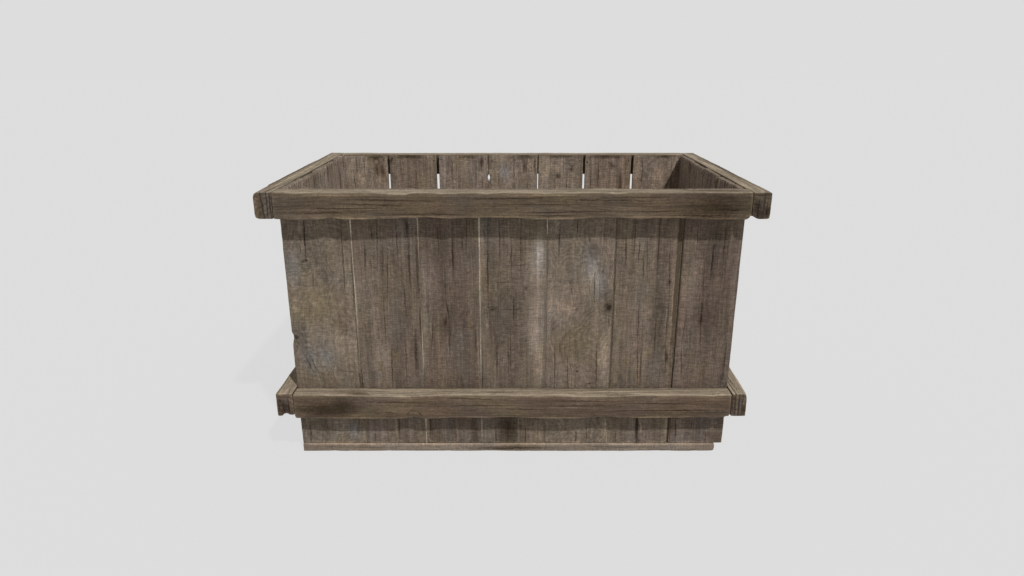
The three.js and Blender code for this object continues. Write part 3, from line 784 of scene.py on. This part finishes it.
# How far in millimetres the marks at the top of the side walls keep from a board's edges.
stroke_margin = 3.0
end_wear = {"front": 0.0004, "back": 0.0004, "left": 0.0010, "right": 0.0010}
wall_contrast = {"front": 2.6, "back": 2.8, "left": 2.6, "right": 2.6}
wall_bleach = {"front": "#7a6e5f", "back": "#5e5347", "left": "#7a6e5f", "right": "#7a6e5f"}
# How much lighter each wall's inner face is painted: partly less weathered wood, partly painted light
# standing in for light inside the crate.
inner_face_lift = {"front": 0.3, "back": 0.55, "left": 1.0, "right": 0.95}
board_seed = 11
for wall, count in wall_boards.items():
    inner, outer = inner_faces[wall], outer_faces[wall]
    for number in range(1, count + 1):
        board_seed += 1
        node = f"{wall}_wall_board_{number}"
        marks = drying_marks(board_seed, node, 2, [inner] if wall == "front" else [inner, outer])
        figure = (straight, wavy, straight)[board_seed % 3]
        knots, patches = [], []
        if wall in wall_marks:
            lay(marks, front, wall_marks[wall][number])
            y, half_depth = knot_depths[wall]
            knots = [((x, y, z), (rx, half_depth, rz), core, ring_line, pull)
                     for x, z, rx, rz, core, ring_line, pull in wall_knots[wall].get(number, ())]
        if wall == "front":
            figure = front_figure[number - 1]
            patches = [((x, y, z), (rx, patch_depth, rz), stops)
                       for x, z, rx, rz, stops in front_patches[number]]
        if wall in ("left", "right"):
            # Dark strokes of growing length and width run down from the top, pale ones beside them.
            low, high = [corner * 1000.0 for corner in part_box(node)]
            chance = np.random.default_rng(board_seed)
            places = chance.uniform(low[1] + stroke_margin, high[1] - stroke_margin, 6)
            strokes = [(y, 442, y + 1.5, 430 - 4.0 * k, 2.4 + 0.6 * k) for k, y in enumerate(places)]
            lay(marks, inner, {"faint": strokes, "pale": [(y + 5, 441, y + 7, 434, 4.0) for y in places[:3]]})
        board = sawn_piece(f"weathered_{node}", node, along=2, seed=board_seed, inner=inner, marks=marks,
                           end_wear=end_wear[wall], **wall_shapes.get(wall, {}).get(number, {}))
        board.data.materials.append(weathered_softwood(
            f"weathered_sawn_pine_{node}", node, along=2, tone=wall_tones[wall][number - 1], seed=board_seed,
            weights=figure, knots=knots, marks=marks, patches=patches, bleach=wall_bleach[wall],
            contrast=wall_contrast[wall], inside=inner_face_lift[wall]))


# Seam packing
# Dust, dirt and splinters have packed some seams between the boards, a little under their faces.
# It is brown dirt. Where it turns pale it is partly dried dirt and partly painted light, as if the lit
# inside of the crate showed through the seam, most of all high under the rim.

# How pale each seam's packing is painted up its height, as (height, share): partly dried dirt, partly
# painted light through the seam.
pale_parts = {
    ("front", 1): [(14, 0.25), (45, 0.10), (112, 0.0), (150, 0.04), (205, 0.20), (235, 0.38), (265, 0.55),
                   (298, 0.55), (310, 0.35), (366, 0.40), (374, 0.8), (385, 1.0)],
    ("front", 2): [(14, 0.4), (40, 0.5), (50, 0.8), (75, 0.9), (112, 0.0), (150, 0.20), (165, 0.45),
                   (178, 0.45), (235, 0.16), (265, 0.08), (300, 0.08), (366, 0.22), (385, 0.65)],
    ("front", 3): [(14, 0.2), (25, 0.3), (35, 0.5), (55, 0.6), (112, 0.1), (150, 0.35), (175, 0.62),
                   (205, 0.35), (235, 0.30), (260, 0.52), (295, 0.62), (320, 0.45), (345, 0.52), (366, 0.8),
                   (385, 1.0)],
    ("front", 4): [(14, 0.1), (60, 0.15), (112, 0.05), (235, 0.1), (366, 0.1), (378, 0.7), (385, 0.9)],
    ("front", 5): [(14, 0.35), (40, 0.2), (60, 0.1), (112, 0.0)],
    ("front", 6): [(14, 0.0)],
    ("back", 3): [(14, 0.0)],
}
# The heights between which it has fallen out with a knot.
open_parts = {("back", 3): (391, 399)}
under_face = 0.0006
# Beside one seam the board has worn down, and the packing lies as deep as it.
deep_seams = {("front", 6): 0.0026}
packing_depth = 0.004
packing_top = 0.4395
packing_overlap = 0.0004
packing_rows = 80
clod_depth, clod_pitch = 0.0005, 0.012
packing, tree = blank("seam_dirt_and_light")
place = add(tree, "TexCoord", out="Object")
clods = add(tree, "TexNoise", {"Vector": place, "Scale": 420.0, "Detail": 4.0})
pale_share = add(tree, "Attribute", out="Fac", attribute_name="pale_share")
# Brown dirt, mixed toward a pale colour that is partly dried dirt and partly painted light.
dirt_and_light = add(tree, "Mix", {0: pale_share, 6: srgb("#5e5245"), 7: srgb("#c4baa8")}, 2, data_type="RGBA")
lift = add(tree, "MapRange", (clods, 0.3, 0.7, 0.6, 1.35))
dirt_and_light = add(tree, "VectorMath SCALE", {0: dirt_and_light, "Scale": lift})
lumps = add(tree, "Bump", {"Height": clods, "Strength": 0.7, "Distance": 0.0004})
crumbs = add(tree, "BsdfPrincipled", {"Base Color": dirt_and_light, "Roughness": 0.95, "Specular IOR Level": 0.1,
                                      "Normal": lumps})
add(tree, "OutputMaterial", {"Surface": crumbs})
for (wall, seam), parts in pale_parts.items():
    low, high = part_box(f"{wall}_wall_board_{seam}")
    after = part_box(f"{wall}_wall_board_{seam + 1}")[0]
    way = 1.0 if wall == "front" else -1.0
    below = deep_seams.get((wall, seam), under_face)
    thick = high.y - low.y - 2.0 * under_face if wall == "back" else packing_depth
    middle_y = (low.y if wall == "front" else high.y) + way * (below + thick / 2.0)
    gap = open_parts.get((wall, seam))
    ends = [(low.z, gap[0] / 1000.0), (gap[1] / 1000.0, packing_top)] if gap else [(low.z, packing_top)]
    bm = bmesh.new()
    for begin, end in ends:
        strip = bmesh.ops.create_cube(bm, size=1.0)["verts"]
        bmesh.ops.scale(bm, vec=(after.x - high.x + packing_overlap, thick, end - begin), verts=strip)
        middle = ((high.x + after.x) / 2.0, middle_y, (begin + end) / 2.0)
        bmesh.ops.translate(bm, vec=middle, verts=strip)
    upright = [e for e in bm.edges if abs(e.verts[0].co.z - e.verts[1].co.z) > 0.01]
    bmesh.ops.subdivide_edges(bm, edges=upright, cuts=packing_rows, use_grid_fill=True)
    heights = np.array([v.co.z for v in bm.verts])
    sunk = drift(np.random.default_rng(300 + seam), heights, clod_pitch)
    for vert, deeper in zip(bm.verts, sunk):
        vert.co.y += way * clod_depth * deeper
    bmesh.ops.recalc_face_normals(bm, faces=bm.faces[:])
    strip = stand(f"{wall}_seam_packing_{seam}", bm)
    pale_shares = np.interp(heights, [p[0] / 1000.0 for p in parts], [p[1] for p in parts])
    layer = strip.data.attributes.new("pale_share", "FLOAT", "POINT")
    layer.data.foreach_set("value", np.asarray(pale_shares, np.float32))
    strip.data.materials.append(packing)
    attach(strip, "root")


# Battens
# Squared softwood battens, 27 mm thick, run round the rim and low round the sides. They hold the
# boards, and weather and hands have darkened their faces and rubbed their top arrises pale.
lined = {"bands": 0.40, "streaks": 0.78, "fibres": 0.62, "patches": 0.36, "mottle": 0.38, "saw_marks": 0.22,
         "specks": 0.45, "hairlines": 0.16, "rings": 0.08, "sway": 0.014, "pitch": 0.75}
# How much is gone from the long edges of the front battens, as (x, millimetres).
rim_front_bottom = [(-350, 0.5), (-320, 0), (-285, 0), (-267, 2.8), (-249, 0.2), (-214, 0.1), (-197, 1.2),
                    (-179, 0.9), (-161, 2.4), (-144, 2.3), (-126, 3.7), (-109, 2.4), (-91, 0.9), (-74, 2.3),
                    (-39, 3.2), (-3, 2.5), (14, 1.7), (32, 0), (84, 0), (119, 2.2), (155, 2.9), (172, 1.8),
                    (190, 0.1), (207, 2.5), (225, 1.7), (242, 2.1), (260, 1.6), (295, 0), (350, 0)]
rim_front_top = [(-333, 0), (-313, 0.4), (-279, 0.6), (-260, 1.7), (-245, 0), (-210, 0.5), (-173, 2.8),
                 (-156, 3.1), (-143, 0), (-125, 0), (-106, 1.7), (-89, 1.7), (-55, 0), (-37, 2.7), (-21, 0),
                 (31, 0.2), (47, 2.2), (66, 0), (82, 1.2), (101, 0), (136, 0), (149, 2.2), (171, 0), (204, 0),
                 (308, 0), (323, 0.7), (350, 0)]
low_front_bottom = [(-350, 0.5), (-332, 2.2), (-313, 1.3), (-293, 0.5), (-255, 0.3), (-177, 0.3),
                    (-168, 2.0), (-158, 3.6), (-146, 1.2), (-139, 0), (-120, 0.8), (-100, 1.9), (-81, 2.1),
                    (-42, 1.1), (-4, 2.3), (16, 1.4), (54, 0.4), (74, 0.2), (112, 1.2), (131, 2.4),
                    (151, 3.9), (170, 2.2), (209, 1.3), (247, 1.5), (286, 2.1), (324, 2.1), (350, 2.5)]
low_front_top = [(-349, 0), (-330, 0), (-310, 0.2), (-290, 1.8), (-271, 0.9), (-213, 3), (-175, 4),
                 (-137, 1.6), (-80, 0), (-61, 0), (-42, 1.6), (-23, 0.5), (-4, 2.5), (34, 3.7), (53, 3.2),
                 (73, 1.8), (91, 3.2), (110, 4), (149, 3), (167, 3.7), (207, 0.4), (245, 0), (265, 0),
                 (302, 0.7), (320, 2.5), (341, 0.4)]
batten_shapes = {
    "rim_front_batten": {
        "worn_back": [(under, front, 25, rim_front_bottom), (top, front, 8, rim_front_top)],
        "rounded": [(right, under, [(-232, 10)]), (left, under, [(-232, 3)]), (top, front, [(-350, 3.6)])]},
    "low_front_batten": {
        "worn_back": [(under, front, 25, low_front_bottom), (top, front, 8, low_front_top)],
        "rounded": [(right, under, [(-232, 11)]), (left, under, [(-232, 6)]), (top, front, [(-350, 3.6)])]},
    "rim_left_batten": {
        "rounded": [(left, top, [(-232, 7), (-168, 5), (-160, 0)]),
                    (left, under, [(-232, 6), (-120, 6), (-80, 1)])]},
    "rim_right_batten": {
        "rounded": [(right, under, [(-232, 3)]), (right, top, [(-232, 3), (-180, 1)]),
                    (left, under, [(-232, 12), (-212, 11), (-206, 2)])]},
    "low_left_batten": {
        "worn_back": [(under, front, 14, [(-377, 0), (-370, 0.5), (-366, 4), (-362, 4.5), (-358, 2),
                                          (-350, 1)])],
        "rounded": [(left, under, [(-232, 3), (-150, 1)])]},
    "low_right_batten": {
        "worn_back": [(right, front, 45, [(70, 2.0), (125, 2.6)])],
        "rounded": [(right, under, [(-232, 4), (-150, 1)]), (right, top, [(-232, 9), (-180, 5), (-120, 1)])]},
}
batten_marks = {
    "rim_front_batten": {
        front: {"stain_and_shade": [(250, 419, 352, 419, 46), (280, 420, 340, 420, 30)],
                "line": [(-320, 416, -180, 417.5, 1.8), (-30, 423.5, 90, 422.5, 1.6),
                         (60, 430, 200, 428, 1.8), (300, 416, 345, 414, 1.8)],
                "faint": [(-250, 430, -120, 428, 2.4), (20, 411, 150, 413, 2.2), (150, 434, 240, 433, 2.2),
                          (-335, 410, -220, 411, 2.4), (-60, 431, 60, 433, 2.4), (220, 407, 320, 406, 2.2),
                          (-140, 409, -60, 408, 2.0), (-260, 424, -150, 421, 2.0), (180, 412, 250, 413, 2.0),
                          (-200, 407, -110, 408.5, 2.0), (20, 407, 100, 406, 2.0)],
                "pale": [(-335, 403, -190, 403, 3.4), (-185, 404.5, -60, 404.5, 3.2),
                         (-55, 405, 24, 404, 3.2), (30, 402.4, 130, 403, 3.0),
                         (138, 405, 250, 404, 3.2), (262, 403, 346, 402.4, 2.6),
                         (-320, 437, -180, 436, 3.0), (-20, 437, 90, 436, 2.6)]},
        top: {"line": [(-214, -206.4, -156, -206.0, 2.4), (-190, -212, -150, -211, 2.0),
                       (-60, -212, 40, -211, 1.8)],
              "faint": [(-330, -214, -230, -213, 2.4), (60, -222, 200, -221, 2.4),
                        (-140, -224, -20, -223, 2.4)],
              # The two narrow stains along y -206 are painted shade in the seam where the board tops meet the
              # batten.
              "stain_and_shade": [(255, -218, 350, -216, 20), (-60, -206, 10, -206, 4), (180, -206, 300, -206, 4)]}},
    "low_front_batten": {
        front: {"stain_and_shade": [(-300, 94, -252, 92, 34), (-340, 92, -262, 90, 26)],
                "line": [(-118, 112, -19, 107.5, 2.0), (60, 96, 160, 98, 1.8), (-170, 80, -164, 88, 1.8),
                         (-165, 88.5, -152, 88, 1.8), (-152, 88, -146, 79, 1.8), (-30, 92, 60, 90, 1.6),
                         (180, 102, 300, 100, 1.8), (-240, 84, -180, 85, 1.6), (240, 88, 340, 90, 1.6)],
                "faint": [(-250, 104, -120, 102, 2.4), (150, 88, 300, 90, 2.2), (-120, 96, 0, 98, 2.2),
                          (60, 106, 180, 105, 2.2)],
                "pale": [(-340, 76, -180, 75.5, 2.4), (-130, 77, -20, 77, 2.4), (0, 76, 130, 76, 2.6),
                         (160, 77, 330, 76.5, 2.6)]},
        top: {"line": [(-150, -209, -90, -208.5, 2.0), (-90, -222, 20, -221, 1.8)],
              # The two long faint lines along y -206 are painted shade where the boards stand on the batten.
              "faint": [(60, -214, 220, -213, 2.4), (-320, -220, -200, -219, 2.4),
                        (-370, -206, 60, -206.4, 5.5), (-60, -206.4, 370, -206, 5.5)],
              "stain_and_shade": [(-265, -225, -225, -226, 8), (150, -226, 190, -226, 6)]}},
    "rim_left_batten": {
        front: {"check": [(-366.4, 450, -361.3, 392, 3.0), (-352.4, 450, -352, 392, 3.0)],
                "line": [(-356.8, 446, -357.2, 396, 2.6)],
                "bluish": [(-357.5, 446, -357, 396, 11)],
                "faded": [(-374, 446, -374, 396, 7), (-359.5, 446, -359.5, 396, 4),
                          (-354.6, 446, -354.6, 396, 3)]},
        top: {"stain_and_shade": [(-373, -225, -373, 225, 8)], "pale": [(-362, -225, -362, 225, 3.0)],
              "line": [(-366, -240, -366, 40, 2.4), (-358, -240, -357, -170, 2.4)]}},
    "rim_right_batten": {
        front: {"check": [(348, 436.6, 380, 437.0, 3.0), (366.6, 448, 366, 394, 3.6)],
                "line": [(359, 434, 358, 398, 2.4), (371.5, 436, 371, 404, 2.0), (352, 424, 366, 422.5, 2.0)],
                "stain_and_shade": [(352, 432, 362, 402, 18), (352, 414, 370, 404, 16), (372, 420, 372, 404, 12)],
                "faded": [(371.5, 434, 371.5, 420, 6)], "bluish": [(360, 436, 360, 404, 9)]},
        top: {"stain_and_shade": [(372, -225, 372, 225, 8)], "faint": [(351.5, -200, 351.5, 205, 2.2)],
              "line": [(364, -226, 366, 0, 1.6)],
              "pale": [(352, -190, 351, -120, 4.0), (352, -60, 351, 40, 4.0)]}},
    "low_left_batten": {
        front: {"stain_and_shade": [(-367, 106, -362, 84, 15), (-371, 110, -370, 102, 5), (-361, 100, -360, 92, 5),
                          (-370, 90, -368, 84, 5)],
                "line": [(-357, 118, -358, 78, 2.4), (-373.5, 108, -373, 84, 2.0), (-366, 96, -364, 80, 2.4)],
                "faded": [(-363, 112, -362, 102, 4), (-370, 99, -369, 93, 3)],
                "bluish": [(-364, 112, -363, 86, 10)], "pale": [(-375, 115, -366, 117, 3.0)]}},
    "low_right_batten": {
        front: {"check": [(355.5, 126, 356.5, 70, 2.8), (361.6, 126, 362, 70, 3.2)],
                "line": [(367, 120, 367.5, 76, 2.2), (351.8, 118, 352, 78, 2.2)],
                "stain_and_shade": [(371, 98, 371, 84, 7)], "faded": [(359, 120, 359, 76, 3.4), (370, 118, 370, 90, 6)],
                "bluish": [(364, 114, 364, 84, 9)]},
        top: {"check": [(361.5, -240, 360.5, -60, 2.8)], "line": [(355.5, -240, 355, -120, 2.4)]}},
}
batten_tones = {"rim": "#564a3d", "low": "#55473b"}
batten_seed = 70
for height, tone in batten_tones.items():
    for wall, outer in outer_faces.items():
        batten_seed += 1
        node = f"{height}_{wall}_batten"
        length_way = 0 if wall in ("front", "back") else 1
        marks = drying_marks(batten_seed, node, length_way, [] if wall == "front" else [outer])
        for face, kinds in batten_marks.get(node, {}).items():
            lay(marks, face, kinds)
        batten = sawn_piece(f"weathered_{node}", node, along=length_way, seed=batten_seed, arris=0.0004,
                            rows=0.0036, wander=0.0001 if wall == "front" else 0.0003, relief=0.0003,
                            wear=0.0005, end_wear=0.0002, rub=0.4, marks=marks, **batten_shapes.get(node, {}))
        batten.data.materials.append(weathered_softwood(
            f"weathered_batten_pine_{node}", node, along=length_way, seed=batten_seed, tone=tone,
            weights=lined, marks=marks, olive=0.45, cool=0.1, bleach="#988b78"))


# Floor boards
# Four wider boards close the bottom, nailed up into the walls. Only their front edge shows under
# the front wall, with a pale arris that is partly worn wood and partly a painted highlight.
# The pale lines along the top of the front edge are partly worn arris and partly a painted highlight where
# the edge catches the lamp.
floor_edge_marks = {
    "pale": [(-360, 13.4, -190, 13.4, 3.0), (-210, 13.4, -20, 13.4, 3.4), (-50, 13.4, 150, 13.4, 3.0),
             (120, 13.2, 270, 13.2, 4.2), (230, 13, 345, 13, 4.6)],
    "stain_and_shade": [(-60, 6, 60, 6, 9)],
    "line": [(-330, 8, -210, 7, 1.4), (-100, 5, 60, 6, 1.4), (120, 8, 260, 7.5, 1.4)],
}
floor_seed = 90
for number in range(1, 5):
    floor_seed += 1
    node = f"floor_board_{number}"
    marks = drying_marks(floor_seed, node, 0, [top, under])
    rounded = []
    if number == 1:
        lay(marks, front, floor_edge_marks)
        rounded = [(right, under, [(0, 4)]), (right, top, [(0, 2)])]
    plank = sawn_piece(f"weathered_{node}", node, along=0, seed=floor_seed, inner=top, marks=marks,
                       arris=0.0004, wander=0.0, wear=0.0006, end_wear=0.0005, rub=0.15, rounded=rounded)
    plank.data.materials.append(weathered_softwood(
        f"weathered_floor_pine_{node}", node, along=0, tone="#786c60", seed=floor_seed, weights=straight,
        marks=marks, bleaching=0.0, contrast=2.0))


# Nails
# Plain round wire nails, rusted brown, hold the batten ends and the floor. Smaller ones go from
# inside through each board into the battens. Most have lost heads, and two at the back whole ones.
rust, tree = blank("rusted_steel")
place = add(tree, "TexCoord", out="Object")
scale = add(tree, "TexNoise", {"Vector": place, "Scale": 900.0, "Detail": 4.0})
bloom = add(tree, "TexNoise", {"Vector": place, "Scale": 260.0, "Detail": 3.0})
bloom = add(tree, "MapRange", (bloom, 0.35, 0.65))
brown = add(tree, "Mix", {0: bloom, 6: srgb("#4a3424"), 7: srgb("#33302d")}, 2, data_type="RGBA")
lift = add(tree, "MapRange", (scale, 0.3, 0.7, 0.65, 1.3))
brown = add(tree, "VectorMath SCALE", {0: brown, "Scale": lift})
metal = add(tree, "MapRange", {0: bloom, 3: 0.15, 4: 0.7})
pitted = add(tree, "Bump", {"Height": scale, "Strength": 0.6, "Distance": 0.0002})
steel = add(tree, "BsdfPrincipled", {"Base Color": brown, "Metallic": metal, "Roughness": 0.7,
                                     "Normal": pitted})
add(tree, "OutputMaterial", {"Surface": steel})
for node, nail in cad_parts.items():
    if "_nail_" in node:
        nail.data.materials.clear()
        nail.data.materials.append(rust)

whole_head = 0.0036
lost_head = 0.0024
whole_heads = (("back", 2), ("back", 6))
head_thickness = 0.0009
head_proud = 0.00015
head_arris = 0.00025
nail_rows = (0.430, 0.097)
from_board_edge = 0.006
row_wander, edge_wander = 0.004, 0.002
for wall, count in wall_boards.items():
    inner = inner_faces[wall]
    across = 0 if inner[0] == 1 else 1
    inward = head_proud if inner[1] == 0 else -head_proud
    turned = Matrix.Rotation(math.radians(90.0), 4, "X" if inner[0] == 1 else "Y")
    bm = bmesh.new()
    chance = np.random.default_rng(len(wall) + count)
    for number in range(1, count + 1):
        low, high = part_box(f"{wall}_wall_board_{number}")
        for height in nail_rows:
            for side, edge in enumerate((low[across] + from_board_edge, high[across] - from_board_edge)):
                spot = Vector((0.0, 0.0, height + chance.uniform(-row_wander, row_wander)))
                spot[across] = edge + chance.uniform(-edge_wander, edge_wander)
                spot[inner[0]] = (low, high)[inner[1]][inner[0]] + inward
                whole = side == 0 and height == nail_rows[0] and (wall, number) in whole_heads
                radius = (whole_head if whole else lost_head) / 2.0
                bmesh.ops.create_cone(bm, cap_ends=True, segments=10, radius1=radius, radius2=radius,
                                      depth=head_thickness, matrix=Matrix.Translation(spot) @ turned)
    rims = [e for e in bm.edges if len(e.link_faces) == 2 and e.calc_face_angle() > 1.0]
    bmesh.ops.bevel(bm, geom=rims, offset=head_arris, offset_type="OFFSET", affect="EDGES",
                    segments=1, profile=0.5, material=-1)
    bmesh.ops.recalc_face_normals(bm, faces=bm.faces[:])
    heads = stand(f"{wall}_board_nail_heads", bm)
    heads.data.materials.append(rust)
    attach(heads, "root")
